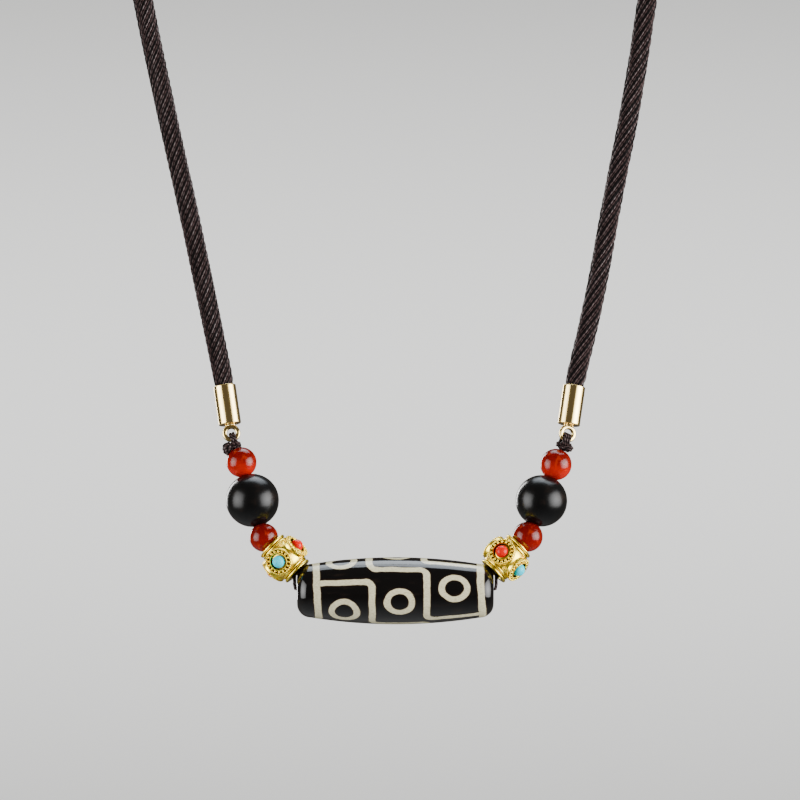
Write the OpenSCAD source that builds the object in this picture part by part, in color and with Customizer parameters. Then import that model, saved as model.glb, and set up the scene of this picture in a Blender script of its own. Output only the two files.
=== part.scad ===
// Dzi bead necklace: a long patterned stone bead between pairs of round and metal beads,
// strung on a knotted thread between two end caps, and worn on a twisted rope with a
// barrel clasp at the nape. It hangs as it is worn. Sizes are in millimetres.

/* [Dzi bead] */
// Length of the long stone bead
dzi_length = 38.4; // [34:0.2:42]
// Diameter of the long stone bead at its middle
dzi_d = 13.1; // [12:0.1:14]
// Radius of the curve that the bead's side follows from end to end
dzi_side_r = 104; // [80:1:160]
// Radius that rounds the bead's ends
dzi_end_r = 2.7; // [2:0.1:3]
// Diameter of the hole drilled through the long stone bead
dzi_hole_d = 2.4; // [2:0.1:3]

/* [Round beads] */
// Diameter that the red beads are sorted to
red_d = 6; // [5.5:0.1:6.4]
// Diameter of the hole through a red bead
red_hole_d = 1.6; // [1.4:0.1:1.8]
// Diameter that the black beads are sorted to
black_d = 10.3; // [9.5:0.1:11]
// Diameter of the hole through a black bead
black_hole_d = 1.8; // [1.6:0.1:2]

/* [Metal beads] */
// Length of a metal bead between the faces of its end flanges
metal_length = 7.3; // [6.8:0.1:7.6]
// Diameter of the end flanges
flange_d = 6.1; // [5.6:0.1:6.2]
// Thickness of each of the two discs of a flange
flange_t = 0.45; // [0.35:0.05:0.6]
// Gap between the two discs of a flange
flange_gap = 0.25; // [0.15:0.05:0.3]
// Diameter of the open dish in the face of a flange
dish_d = 3.8; // [3.4:0.1:4]
// Diameter of the hole through a metal bead
metal_hole_d = 2.8; // [2.4:0.1:3]
// Diameter of the barrel between the medallions
metal_body_d = 7.5; // [7:0.1:7.8]
// Diameter of a round medallion
medallion_d = 5.3; // [5:0.1:5.4]
// Height of a medallion's face above the bead's axis
medallion_h = 3.65; // [3.5:0.05:3.8]
// Diameter of the small set stones
stone_d = 2.5; // [2.2:0.1:2.8]
// Height of a set stone's top above the bead's axis
stone_top = 4.85; // [4.6:0.05:5]

/* [End caps] */
// Diameter of an end cap
cap_d = 4.4; // [4.3:0.1:5]
// Length of an end cap without its ring
cap_length = 7.7; // [7:0.1:10]
// Diameter of the socket that the rope is glued into
socket_d = 3.8; // [3.7:0.1:3.9]
// Depth of that socket
socket_depth = 5.5; // [4:0.1:6]
// Outer diameter of the ring under a cap
ring_d = 3.5; // [3.3:0.1:3.8]
// Diameter of the hole in that ring
ring_hole_d = 1.7; // [1.6:0.1:1.8]
// Thickness of the ring
ring_t = 0.8; // [0.6:0.1:0.8]

/* [Thread] */
// Diameter of the doubled thread that the beads are strung on
thread_d = 0.8; // [0.6:0.1:0.8]

/* [Rope] */
// Diameter of the twisted rope
rope_d = 4; // [3.8:0.1:4.2]
// Diameter of the rope where it is squeezed into a socket
rope_end_d = 3.6; // [3.2:0.1:3.6]

/* [Clasp] */
// Diameter of the barrel clasp
clasp_d = 6; // [5:0.1:7]
// Length of the barrel clasp
clasp_length = 16; // [14:0.5:20]
// Depth of the sockets in the clasp's ends
clasp_socket = 4; // [3:0.5:5]

/* [As worn] */
// Height of the nape above the middle of the long stone bead
drop = 226; // [224:1:228]
// Distance of that middle in front of the nape
reach = 88; // [87:1:89]
// Lean of the bead string against the upright, in degrees
lean = 20; // [19:1:21]

/* [Hidden] */
$fn = 48;

// Clearance between neighbouring pieces, and between beads along the thread
gap = 0.1;
bead_gap = 0.15;
// Extra length of a cut past the face that it opens
past = 1;
// Width of the bevels on the turned metal pieces
bevel = 0.15;
// Sides and signs of the two halves of the string
LEFT = -1;
RIGHT = 1;
// Number of straight steps in the outline of the long bead's side, and of its rounded end
side_steps = 24;
end_steps = 10;

// Columns of the tables of round beads. STEP is the lean of the line from the piece before to
// the bead's middle, and BORE the lean of its hole, both from the upright in the string's plane.
DIAMETER = 0;
HOLE = 1;
MOUTH = 2;
STEP = 3;
BORE = 4;
LOWER = 0;
MIDDLE = 1;
UPPER = 2;
left_beads = [
    [red_d - 0.4, red_hole_d, 0, 44.5, 26],
    [black_d + 0.1, black_hole_d, 2.6, 16.9, 16.4],
    [red_d - 0.1, red_hole_d, 0, 15.9, 16.4]
];
right_beads = [
    [red_d - 0.1, red_hole_d, 0, 44.5, 27],
    [black_d - 0.2, black_hole_d, 2.8, 20.8, 20.8],
    [red_d + 0.15, red_hole_d, 0, 21.5, 21.1]
];

// Place of each metal bead's middle past the long bead's end and above its axis, the lean of
// its hole, and the turn of its medallions about that hole
metal_out = 2.36;
metal_up = 6.37;
metal_lean = 44.5;
left_spin = -27;
right_spin = -18;

// Columns of the tables of knot lumps, measured from the ring's middle: across to the outer
// side, down towards the beads, and the diameter
ACROSS = 0;
DOWN = 1;
LUMP_D = 2;
left_lumps = [[1.7, 2.65, 1.6], [1.05, 2.55, 1.3], [0.3, 2.6, 1.2], [-0.5, 2.55, 1.2]];
right_lumps = [[1.35, 2.6, 1.7], [0.6, 2.7, 1.5], [-0.2, 2.65, 1.4], [-0.9, 2.4, 1.1]];
// Distance from the topmost bead to the ring and the lean of that step, for each side
left_ring_step = [6.1, 19.1];
right_ring_step = [6.5, 20.2];
// Lean of the end caps, and the distance from a ring's middle to its cap
cap_lean = 8.2;
ring_to_cap = 1.8;
// Turn of the right ring about its cap
right_ring_turn = 20;
// Radius of the thread's loop through a ring
loop_r = 1.18;
// Diameter of the solder between a ring and its cap
solder_d = 1.4;
ring_middle_r = (ring_d + ring_hole_d) / 4;

// Middle points of the two halves of the rope, from the caps up the chest and round the neck
left_route = [
    [-37, -68, -171], [-41, -61.5, -153], [-45, -55, -136], [-49, -48.5, -118],
    [-52.5, -40.5, -100.5], [-54, -32, -83], [-53.5, -23, -65], [-50.5, -14.5, -47.5],
    [-44.5, -7, -30.5], [-35, -1, -16], [-23.5, 2.5, -5], [-13, 3, -0.5]
];
right_route = [
    [39, -68, -171], [42.5, -61.5, -153], [46, -55, -136], [49, -48.5, -118],
    [51.5, -40.5, -100.5], [53, -32, -83], [53, -23, -65], [50.5, -14.5, -47.5],
    [44.5, -7, -30.5], [35, -1, -16], [23.5, 2.5, -5], [13, 3, -0.5]
];
rope_sides = 10;
rope_steps = 2;
// Length over which the rope swells to its full width outside a socket
shoulder = 0.3;
thread_sides = 8;
lump_sides = 12;
// Depth inside a bead's hole at which the thread's straight stretch ends, and the depth of a
// knot's middle below the ring's
straight_end = 0.6;
knot_down = 2.6;
// Where the thread leaves a metal bead's hole, along the hole's axis and off it
metal_exit = [-2.2, 0.7];
// Bend of the thread from there into the long bead's hole, past that bead's end and above its axis
BEYOND = 0;
ABOVE = 1;
end_bend = [[0.57, 2.9], [0.57, 1.3], [0.4, 0.45], [-0.4, 0.35]];
loop_steps = 12;

pendant = [0, -reach, -drop];
clasp_y = clasp_d / 2;

// Unit vector that leans by an angle from the upright towards one side, in the string's plane
function towards(side, angle) = [side * sin(angle), cos(angle)];
// Point of the string's leaning plane in the necklace's own space
function chest(p) = pendant + [p[0], p[1] * sin(lean), p[1] * cos(lean)];

function beads(side) = side == LEFT ? left_beads : right_beads;
function metal_at(side) = [side * (dzi_length / 2 + metal_out), metal_up];
// Distance from a bead's middle to the plane of a round mouth that it rests against
function rest_height(bead_d, mouth_d) = sqrt(pow(bead_d / 2, 2) - pow(mouth_d / 2, 2));
function seat(a, b) = let (mouth = max(a[MOUTH], b[MOUTH]))
    rest_height(a[DIAMETER], mouth) + rest_height(b[DIAMETER], mouth) + bead_gap;
function bead_at(side, i) = let (row = beads(side)[i])
    i == LOWER
        ? metal_at(side) + (metal_length / 2 + rest_height(row[DIAMETER], dish_d) + bead_gap)
            * towards(side, row[STEP])
        : bead_at(side, i - 1) + seat(beads(side)[i - 1], row) * towards(side, row[STEP]);
function ring_step(side) = side == LEFT ? left_ring_step : right_ring_step;
function ring_at(side) = bead_at(side, UPPER)
    + ring_step(side)[0] * towards(side, ring_step(side)[1]);
function on_cap(side, along) = ring_at(side) + along * towards(side, cap_lean);
cap_top = ring_to_cap + cap_length;

// Sets a piece that is drawn along Z on the string at a point and a lean of the leaning plane
module on_string(p, side, angle) {
    translate(chest(p)) rotate([-lean, 0, 0]) rotate([0, side * angle, 0]) children();
}

// Smooth curve through points, sampled in equal steps of each stretch between the inner ones
function blend(a, b, c, d, t) = 0.5 * (2 * b + (c - a) * t + (2 * a - 5 * b + 4 * c - d) * t * t
    + (3 * b - a - 3 * c + d) * t * t * t);
function curve(p, steps) = [
    for (i = [1 : len(p) - 3], k = [0 : steps - 1])
        blend(p[i - 1], p[i], p[i + 1], p[i + 2], k / steps)
];

function unit(v) = v / norm(v);
// Direction of a path at one of its points
function heading(p, i) = unit(p[min(i + 1, len(p) - 1)] - p[max(i - 1, 0)]);

// Closed tube along a path, with one radius for each point of the path
module tube(path, radii, sides) {
    rings = len(path);
    points = [
        for (i = [0 : rings - 1])
            let (
                along = heading(path, i),
                across = unit(cross(along, [0, 1, 0])),
                out = cross(along, across)
            )
            for (k = [0 : sides - 1])
                path[i] + radii[i] * (cos(k * 360 / sides) * across + sin(k * 360 / sides) * out)
    ];
    walls = [
        for (i = [0 : rings - 2], k = [0 : sides - 1])
            let (next = (k + 1) % sides)
            [i * sides + k, (i + 1) * sides + k, (i + 1) * sides + next, i * sides + next]
    ];
    first_end = [[for (k = [0 : sides - 1]) k]];
    last_end = [[for (k = [sides - 1 : -1 : 0]) (rings - 1) * sides + k]];
    polyhedron(points, concat(walls, first_end, last_end));
}

// Half outline of the long bead: the curved side from the middle to where the end's rounding
// starts, and then that rounding
function side_radius(x) = dzi_d / 2 - dzi_side_r + sqrt(pow(dzi_side_r, 2) - x * x);
round_from = dzi_length / 2 - dzi_end_r;
round_middle_r = side_radius(round_from) - dzi_end_r;
dzi_end = [
    for (k = [0 : end_steps])
        let (a = 90 - 90 * k / end_steps)
        [round_middle_r + dzi_end_r * sin(a), round_from + dzi_end_r * cos(a)]
];
dzi_side = [
    for (k = [-side_steps : side_steps])
        let (x = k / side_steps * round_from)
        if (abs(k) < side_steps) [side_radius(x), x]
];
function flipped(p) = [for (i = [len(p) - 1 : -1 : 0]) [p[i][0], -p[i][1]]];

module dzi_bead() {
    color([0.05, 0.05, 0.05])
    translate(pendant) rotate([0, 90, 0]) difference() {
        rotate_extrude()
            polygon(concat([[0, -dzi_length / 2]], flipped(dzi_end), dzi_side, dzi_end,
                [[0, dzi_length / 2]]));
        cylinder(h = dzi_length + 2 * past, d = dzi_hole_d, center = true);
    }
}

// Round bead with a straight hole, whose two mouths are widened where the table says so
module round_bead(side, i, colour) {
    row = beads(side)[i];
    mouth_at = rest_height(row[DIAMETER], row[MOUTH]);
    color(colour) on_string(bead_at(side, i), side, row[BORE]) difference() {
        sphere(d = row[DIAMETER]);
        cylinder(h = row[DIAMETER] + 2 * past, d = row[HOLE], center = true);
        if (row[MOUTH] > row[HOLE])
            for (end = [0, 180])
                rotate([end, 0, 0]) translate([0, 0, mouth_at - (row[MOUTH] - row[HOLE]) / 2])
                    cylinder(h = row[MOUTH] / 2, d1 = row[HOLE],
                        d2 = row[HOLE] + row[MOUTH]);
    }
}

// Outer half outline of the metal bead: a barrel, and two discs with a groove between them
flange_depth = 2 * flange_t + flange_gap;
barrel_half = metal_length / 2 - flange_depth;
inner_disc_r = flange_d / 2 - 0.1;
groove_r = flange_d / 2 - 0.6;
// Steps of the barrel's bulge: part of the way to the flange, and drop below the widest radius
barrel_bulge = [[0, 0], [0.45, 0.15], [0.8, 0.5]];
barrel_end_r = inner_disc_r - 0.05;
metal_half = [
    for (step = barrel_bulge) [metal_body_d / 2 - step[1], barrel_half * step[0]],
    [barrel_end_r, barrel_half],
    [inner_disc_r, barrel_half],
    [inner_disc_r, barrel_half + flange_t],
    [groove_r, barrel_half + flange_t],
    [groove_r, barrel_half + flange_t + flange_gap],
    [flange_d / 2, barrel_half + flange_t + flange_gap],
    [flange_d / 2, metal_length / 2]
];
// Inner half outline: the open dish in the flange, and the hole
dish_depth = 0.9;
metal_bore = [
    [dish_d / 2, metal_length / 2],
    [metal_hole_d / 2, metal_length / 2 - dish_depth]
];

// Outline of a medallion: its rim, its flat and the bezel round the stone's pocket
medallion_foot = medallion_d / 2 + 0.05;
pocket_r = stone_d / 2 + gap;
pocket_floor = medallion_h - 0.45;
bezel_r = pocket_r + 0.35;
bezel_top = medallion_h + 0.3;
rim_r = medallion_d / 2 - 0.35;
rim_top = medallion_h + 0.15;
medallion_outline = [
    [0, medallion_foot], [medallion_d / 2, medallion_foot],
    [medallion_d / 2, rim_top], [rim_r, rim_top], [rim_r, medallion_h],
    [bezel_r, medallion_h], [bezel_r, bezel_top], [0, bezel_top]
];

function spin(side) = side == LEFT ? left_spin : right_spin;

// Sets a piece that is drawn round Z on the string as a metal bead is set
module on_metal(side) {
    on_string(metal_at(side), side, metal_lean) rotate([0, 0, spin(side)]) children();
}

// Turns a piece that is drawn along Z outward along the axis of one of the four medallions
module on_medallion(quarter) {
    rotate([0, 0, quarter * 90]) rotate([90, 0, 0]) children();
}

// Metal bead with flanged ends, four medallions and a pocket for a stone in each
module gold_bead(side) {
    color([0.9, 0.68, 0.2]) on_metal(side) difference() {
        union() {
            rotate_extrude()
                polygon(concat(flipped(metal_half), metal_half, metal_bore, flipped(metal_bore)));
            for (quarter = [0 : 3])
                on_medallion(quarter) rotate_extrude() polygon(medallion_outline);
        }
        for (quarter = [0 : 3])
            on_medallion(quarter) translate([0, 0, pocket_floor])
                cylinder(h = stone_top, r = pocket_r);
    }
}

// Small set stone: a round post with a domed top, clear of its pocket all round
module set_stone(side, quarter, colour) {
    dome_at = stone_top - stone_d / 2;
    color(colour) on_metal(side) on_medallion(quarter) {
        translate([0, 0, pocket_floor + gap])
            cylinder(h = dome_at - pocket_floor - gap, d = stone_d);
        intersection() {
            translate([0, 0, dome_at]) sphere(d = stone_d);
            translate([0, 0, dome_at - gap]) cylinder(h = stone_d, d = stone_d + 2 * past);
        }
    }
}

// Turned cylinder with small bevels at both ends, from height 0 up
module beveled(d, h) {
    rotate_extrude() polygon([
        [0, 0], [d / 2 - bevel, 0], [d / 2, bevel],
        [d / 2, h - bevel], [d / 2 - bevel, h], [0, h]
    ]);
}

// Flat band round the Z axis, halved by the level of its origin
module ring_band(outer_d, inner_d, thickness) {
    difference() {
        cylinder(h = thickness, d = outer_d, center = true);
        cylinder(h = thickness + 2 * past, d = inner_d, center = true);
    }
}

// End cap with its rope socket and the ring soldered under it
module cap(side, turn) {
    color([0.93, 0.83, 0.55]) on_string(ring_at(side), side, cap_lean) difference() {
        union() {
            translate([0, 0, ring_to_cap]) beveled(cap_d, cap_length);
            rotate([0, 0, turn]) rotate([90, 0, 0]) ring_band(ring_d, ring_hole_d, ring_t);
            translate([0, 0, ring_middle_r])
                cylinder(h = ring_to_cap - ring_middle_r + bevel, d = solder_d);
        }
        translate([0, 0, cap_top - socket_depth]) cylinder(h = socket_depth + past, d = socket_d);
        rotate([0, 0, turn]) rotate([90, 0, 0])
            cylinder(h = ring_d, d = ring_hole_d, center = true);
    }
}

// Points of the thread in the leaning plane, from the ring's knot down to the long bead's hole
function through(side, i) = let (
        row = beads(side)[i],
        half = (row[DIAMETER] / 2 - straight_end) * towards(side, row[BORE])
    ) [bead_at(side, i) + half, bead_at(side, i) - half];
function in_metal(side, p) = metal_at(side) + p[0] * towards(side, metal_lean)
    + p[1] * [side * cos(metal_lean), -sin(metal_lean)];
function down_thread(side) = concat(
    [ring_at(side) - knot_down * towards(side, ring_step(side)[1])],
    through(side, UPPER), through(side, MIDDLE), through(side, LOWER),
    [in_metal(side, metal_exit)],
    [for (p = end_bend) [side * (dzi_length / 2 + p[BEYOND]), p[ABOVE]]]);
function backwards(p) = [for (i = [len(p) - 1 : -1 : 0]) p[i]];

// Round string along a path of straight stretches
module string(path, d) {
    for (i = [1 : len(path) - 1]) hull() {
        translate(path[i - 1]) sphere(d = d, $fn = thread_sides);
        translate(path[i]) sphere(d = d, $fn = thread_sides);
    }
}

// Thread through every bead, with a loop through each cap's ring and a knot below it
module thread() {
    loop = [
        for (k = [0 : loop_steps])
            loop_r * [0, cos(k * 360 / loop_steps), sin(k * 360 / loop_steps)]
    ];
    color([0.16, 0.09, 0.08]) {
        string([for (p = concat(down_thread(LEFT), backwards(down_thread(RIGHT)))) chest(p)],
            thread_d);
        for (side = [LEFT, RIGHT])
            on_string(ring_at(side), side, ring_step(side)[1]) {
                rotate([0, 0, side == RIGHT ? right_ring_turn : 0])
                    translate([0, 0, -ring_middle_r]) string(loop, thread_d);
                for (lump = side == LEFT ? left_lumps : right_lumps)
                    translate([side * lump[ACROSS], 0, -lump[DOWN]])
                        sphere(d = lump[LUMP_D], $fn = lump_sides);
            }
    }
}

function rope_route(side) = concat(
    [chest(on_cap(side, cap_top - socket_depth + gap)), chest(on_cap(side, cap_top + gap))],
    side == LEFT ? left_route : right_route,
    [
        [side * (clasp_length / 2 + gap), clasp_y, 0],
        [side * (clasp_length / 2 - clasp_socket + gap), clasp_y, 0]
    ]
);

// Half of the rope, from the socket of its end cap to the socket of the clasp
module rope(side) {
    route = rope_route(side);
    last = len(route) - 1;
    leave_cap = route[1] + shoulder * unit(route[1] - route[0]);
    reach_clasp = route[last - 1] + shoulder * unit(route[last - 1] - route[last]);
    middle = curve(route, rope_steps);
    path = concat(
        [route[0], route[1], leave_cap],
        [for (i = [1 : len(middle) - 1]) middle[i]],
        [reach_clasp, route[last - 1], route[last]]
    );
    radii = [
        for (i = [0 : len(path) - 1])
            (i < 2 || i > len(path) - 3 ? rope_end_d : rope_d) / 2
    ];
    color([0.2, 0.12, 0.11]) tube(path, radii, rope_sides);
}

module clasp() {
    color([0.93, 0.83, 0.55])
    translate([-clasp_length / 2, clasp_y, 0]) rotate([0, 90, 0]) difference() {
        beveled(clasp_d, clasp_length);
        for (at = [-past, clasp_length - clasp_socket])
            translate([0, 0, at]) cylinder(h = clasp_socket + past, d = socket_d);
    }
}

RED = [0.75, 0.1, 0.05];
BLACK = [0.03, 0.03, 0.03];
CORAL = [0.92, 0.15, 0.1];
TURQUOISE = [0.3, 0.8, 0.85];

dzi_bead();
gold_bead(LEFT);  // gold_bead_left
gold_bead(RIGHT);  // gold_bead_right
set_stone(LEFT, 0, TURQUOISE);  // turquoise_left_front
set_stone(LEFT, 1, CORAL);  // coral_left_upper
set_stone(LEFT, 2, TURQUOISE);  // turquoise_left_back
set_stone(LEFT, 3, CORAL);  // coral_left_lower
set_stone(RIGHT, 0, CORAL);  // coral_right_front
set_stone(RIGHT, 1, TURQUOISE);  // turquoise_right_lower
set_stone(RIGHT, 2, CORAL);  // coral_right_back
set_stone(RIGHT, 3, TURQUOISE);  // turquoise_right_upper
round_bead(LEFT, LOWER, RED);  // red_bead_lower_left
round_bead(RIGHT, LOWER, RED);  // red_bead_lower_right
round_bead(LEFT, UPPER, RED);  // red_bead_upper_left
round_bead(RIGHT, UPPER, RED);  // red_bead_upper_right
round_bead(LEFT, MIDDLE, BLACK);  // black_bead_left
round_bead(RIGHT, MIDDLE, BLACK);  // black_bead_right
cap(LEFT, 0);  // cap_left
cap(RIGHT, right_ring_turn);  // cap_right
thread();
rope(LEFT);  // rope_left
rope(RIGHT);  // rope_right
clasp();
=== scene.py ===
import math

import bpy
from bpy.props import FloatProperty, FloatVectorProperty, IntProperty, PointerProperty
from mathutils import Matrix, Vector


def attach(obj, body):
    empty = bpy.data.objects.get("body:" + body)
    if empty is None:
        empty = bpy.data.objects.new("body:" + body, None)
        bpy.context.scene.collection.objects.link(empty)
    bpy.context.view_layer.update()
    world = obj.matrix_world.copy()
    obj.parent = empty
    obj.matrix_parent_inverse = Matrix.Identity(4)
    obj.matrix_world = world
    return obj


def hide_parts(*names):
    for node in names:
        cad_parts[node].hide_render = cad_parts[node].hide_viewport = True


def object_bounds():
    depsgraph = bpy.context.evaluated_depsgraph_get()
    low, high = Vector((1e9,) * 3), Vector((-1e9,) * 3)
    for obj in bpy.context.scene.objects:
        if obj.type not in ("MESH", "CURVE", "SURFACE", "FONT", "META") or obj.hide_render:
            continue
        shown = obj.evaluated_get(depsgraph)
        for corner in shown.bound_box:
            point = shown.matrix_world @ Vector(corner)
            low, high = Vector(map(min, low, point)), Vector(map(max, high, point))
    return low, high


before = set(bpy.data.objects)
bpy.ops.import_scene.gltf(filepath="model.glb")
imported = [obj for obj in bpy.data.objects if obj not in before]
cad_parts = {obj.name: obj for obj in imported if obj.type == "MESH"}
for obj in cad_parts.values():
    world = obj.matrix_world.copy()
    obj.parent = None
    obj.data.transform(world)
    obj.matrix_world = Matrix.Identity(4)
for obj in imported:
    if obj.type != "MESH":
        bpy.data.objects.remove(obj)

bl_info = {
    "name": "Dzi bead necklace",
    "version": (1, 0, 0),
    "blender": (4, 5, 0),
    "location": "View3D > Sidebar > Necklace",
    "description": "Dresses the packed necklace: stones, worked metal, thread, rope and studio",
    "category": "Object",
}

# Pieces are shaped in millimetres and then set in place in metres.
MM = 0.001
CAD_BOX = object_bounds()
BODY = "root"
WHITE = (1, 1, 1)
# Angle in degrees up to which edges are shaded smooth, on most pieces, on yarn and on the clasp
SMOOTH, YARN_SMOOTH, CLASP_SMOOTH = 40, 70, 25
# Distance in millimetres within which the points of a turned outline are one
MERGE = 1e-4
LEFT, RIGHT = -1, 1
SIDES = {LEFT: "left", RIGHT: "right"}

# Layout of the string, as the solids have it: its leaning plane, the beads on it and the caps
LEAN = 20
PENDANT = Vector((0, -88, -226))
DZI_LENGTH, DZI_R, DZI_SIDE_R, DZI_END_R, DZI_HOLE_R = 38.4, 6.55, 104, 2.7, 1.2
DIAMETER, HOLE, MOUTH, STEP, BORE = range(5)
LOWER, MIDDLE, UPPER = range(3)
BEADS = {
    LEFT: [[5.6, 1.6, 0, 44.5, 26], [10.4, 1.8, 2.6, 16.9, 16.4], [5.9, 1.6, 0, 15.9, 16.4]],
    RIGHT: [[5.9, 1.6, 0, 44.5, 27], [10.1, 1.8, 2.8, 20.8, 20.8], [6.15, 1.6, 0, 21.5, 21.1]],
}
BEAD_GAP = 0.15
METAL_OUT, METAL_UP, METAL_LEAN = 2.36, 6.37, 44.5
METAL_SPIN = {LEFT: -27, RIGHT: -18}
METAL_LENGTH, DISH_D, METAL_HOLE_R = 7.3, 3.8, 1.4
RING_STEP = {LEFT: (6.1, 19.1), RIGHT: (6.5, 20.2)}
RING_TURN = {LEFT: 0, RIGHT: 20}
CAP_LEAN, RING_TO_CAP, CAP_LENGTH, CAP_R = 8.2, 1.8, 7.7, 2.2
SOCKET_R, SOCKET_DEPTH = 1.9, 5.5
RING_R, RING_HOLE_R, RING_T = 1.75, 0.85, 0.8
RING_MIDDLE_R = (RING_R + RING_HOLE_R) / 2
CLASP_R, CLASP_LENGTH, CLASP_SOCKET = 3, 16, 4
GAP = 0.1
# How far the rope's curve is led past its two ends, so that it runs straight into its sockets
ROPE_LEAD = 5

# Middle points of the two halves of the rope, as the solids have them
ROUTES = {
    LEFT: [
        (-37, -68, -171), (-41, -61.5, -153), (-45, -55, -136), (-49, -48.5, -118),
        (-52.5, -40.5, -100.5), (-54, -32, -83), (-53.5, -23, -65), (-50.5, -14.5, -47.5),
        (-44.5, -7, -30.5), (-35, -1, -16), (-23.5, 2.5, -5), (-13, 3, -0.5),
    ],
    RIGHT: [
        (39, -68, -171), (42.5, -61.5, -153), (46, -55, -136), (49, -48.5, -118),
        (51.5, -40.5, -100.5), (53, -32, -83), (53, -23, -65), (50.5, -14.5, -47.5),
        (44.5, -7, -30.5), (35, -1, -16), (23.5, 2.5, -5), (13, 3, -0.5),
    ],
}


def srgb(red, green, blue):
    """Linear colour of a screen colour from 0 to 255."""
    parts = (c / 255 for c in (red, green, blue))
    return tuple(c / 12.92 if c < 0.04045 else ((c + 0.055) / 1.055) ** 2.4 for c in parts)


def sin(angle):
    return math.sin(math.radians(angle))


def cos(angle):
    return math.cos(math.radians(angle))


# ---------------------------------------------------------------- places on the string

def towards(side, angle):
    return Vector((side * sin(angle), cos(angle)))


def chest(p):
    return PENDANT + Vector((p[0], p[1] * sin(LEAN), p[1] * cos(LEAN)))


def metal_at(side):
    return Vector((side * (DZI_LENGTH / 2 + METAL_OUT), METAL_UP))


def rest_height(bead_d, mouth_d):
    return math.sqrt((bead_d / 2) ** 2 - (mouth_d / 2) ** 2)


def bead_at(side, i):
    row = BEADS[side][i]
    if i == LOWER:
        step = METAL_LENGTH / 2 + rest_height(row[DIAMETER], DISH_D) + BEAD_GAP
        return metal_at(side) + step * towards(side, row[STEP])
    before = BEADS[side][i - 1]
    mouth = max(row[MOUTH], before[MOUTH])
    step = rest_height(row[DIAMETER], mouth) + rest_height(before[DIAMETER], mouth) + BEAD_GAP
    return bead_at(side, i - 1) + step * towards(side, row[STEP])


def ring_at(side):
    length, angle = RING_STEP[side]
    return bead_at(side, UPPER) + length * towards(side, angle)


def on_string(p, side, angle):
    """Place of a piece that is shaped along Z, at a point and a lean of the leaning plane."""
    return (Matrix.Translation(chest(p)) @ Matrix.Rotation(math.radians(-LEAN), 4, "X")
            @ Matrix.Rotation(math.radians(side * angle), 4, "Y"))


def on_cap(side, along):
    return chest(ring_at(side) + along * towards(side, CAP_LEAN))


# ---------------------------------------------------------------- modelling

def deselect():
    bpy.ops.object.select_all(action="DESELECT")


def select_only(obj):
    deselect()
    obj.select_set(True)
    bpy.context.view_layer.objects.active = obj


def edit(action, *args, **kwargs):
    """Runs one edit mode operator on all of the active object's mesh."""
    bpy.ops.object.mode_set(mode="EDIT")
    bpy.ops.mesh.select_all(action="SELECT")
    action(*args, **kwargs)
    bpy.ops.object.mode_set(mode="OBJECT")


def turned(outline, steps):
    """Turns an outline of (radius, height) points round Z, as on a lathe."""
    deselect()
    bpy.ops.mesh.primitive_plane_add(size=1)
    obj = bpy.context.object
    bpy.ops.object.mode_set(mode="EDIT")
    bpy.ops.mesh.select_all(action="SELECT")
    bpy.ops.mesh.merge(type="CENTER")
    bpy.ops.transform.translate(value=(outline[0][0], 0, outline[0][1]))
    for a, b in zip(outline, outline[1:]):
        bpy.ops.mesh.extrude_vertices_move(
            TRANSFORM_OT_translate={"value": (b[0] - a[0], 0, b[1] - a[1])})
    bpy.ops.mesh.select_all(action="SELECT")
    bpy.ops.mesh.remove_doubles(threshold=MERGE)
    bpy.ops.mesh.spin(steps=steps, angle=2 * math.pi, center=(0, 0, 0), axis=(0, 0, 1))
    bpy.ops.mesh.select_all(action="SELECT")
    bpy.ops.mesh.remove_doubles(threshold=MERGE)
    bpy.ops.mesh.normals_make_consistent(inside=False)
    bpy.ops.object.mode_set(mode="OBJECT")
    return obj


def closed(outline):
    """The outline, ended where it began."""
    return list(outline) + [outline[0]]


# Name of the attribute that says how much painted shade a point of the metal gets, by how deep in a
# recess it lies, from 0 to 1
SHADE_ATTRIBUTE = "hollow"


def with_painted_shade(obj, shade_at):
    """Marks painted shade on a piece, point by point, where it lies in hollows or under its parts.
    """
    marks = obj.data.attributes.new(SHADE_ATTRIBUTE, "FLOAT", "POINT").data
    for point, mark in zip(obj.data.vertices, marks):
        mark.value = shade_at(point.co)
    return obj


def arc(centre, radius, start, end, count):
    """Points of an arc, by angles from the outline's radius axis."""
    return [
        (centre[0] + radius * cos(start + (end - start) * k / count),
         centre[1] + radius * sin(start + (end - start) * k / count))
        for k in range(count + 1)
    ]


def copied(obj, place):
    """A copy of a piece with its own mesh, moved by a matrix."""
    twin = obj.copy()
    twin.data = obj.data.copy()
    twin.data.transform(place)
    bpy.context.scene.collection.objects.link(twin)
    return twin


def moved(obj, place):
    obj.data.transform(obj.matrix_basis)
    obj.matrix_basis = Matrix.Identity(4)
    obj.data.transform(place)
    return obj


def joined(objs):
    deselect()
    for obj in objs:
        obj.select_set(True)
    bpy.context.view_layer.objects.active = objs[0]
    bpy.ops.object.join()
    return bpy.context.object


def swept(path, section):
    """Closed skin over sections that follow a path. section gives a ring's (across, up) points."""
    last = len(path) - 1
    tangents = [
        (path[min(i + 1, last)] - path[max(i - 1, 0)]).normalized() for i in range(last + 1)]
    across = tangents[0].orthogonal().normalized()
    points, rings = [], []
    for i in range(last + 1):
        across = (across - across.dot(tangents[i]) * tangents[i]).normalized()
        up = tangents[i].cross(across)
        ring = section(i)
        rings.append(range(len(points), len(points) + len(ring)))
        points += [path[i] + a * across + b * up for a, b in ring]
    sides = len(rings[0])
    faces = [
        (a[k], a[(k + 1) % sides], b[(k + 1) % sides], b[k])
        for a, b in zip(rings, rings[1:]) for k in range(sides)
    ]
    faces += [tuple(reversed(rings[0])), tuple(rings[-1])]
    mesh = bpy.data.meshes.new("swept")
    mesh.from_pydata(points, [], faces)
    obj = bpy.data.objects.new("swept", mesh)
    bpy.context.scene.collection.objects.link(obj)
    return obj


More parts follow.
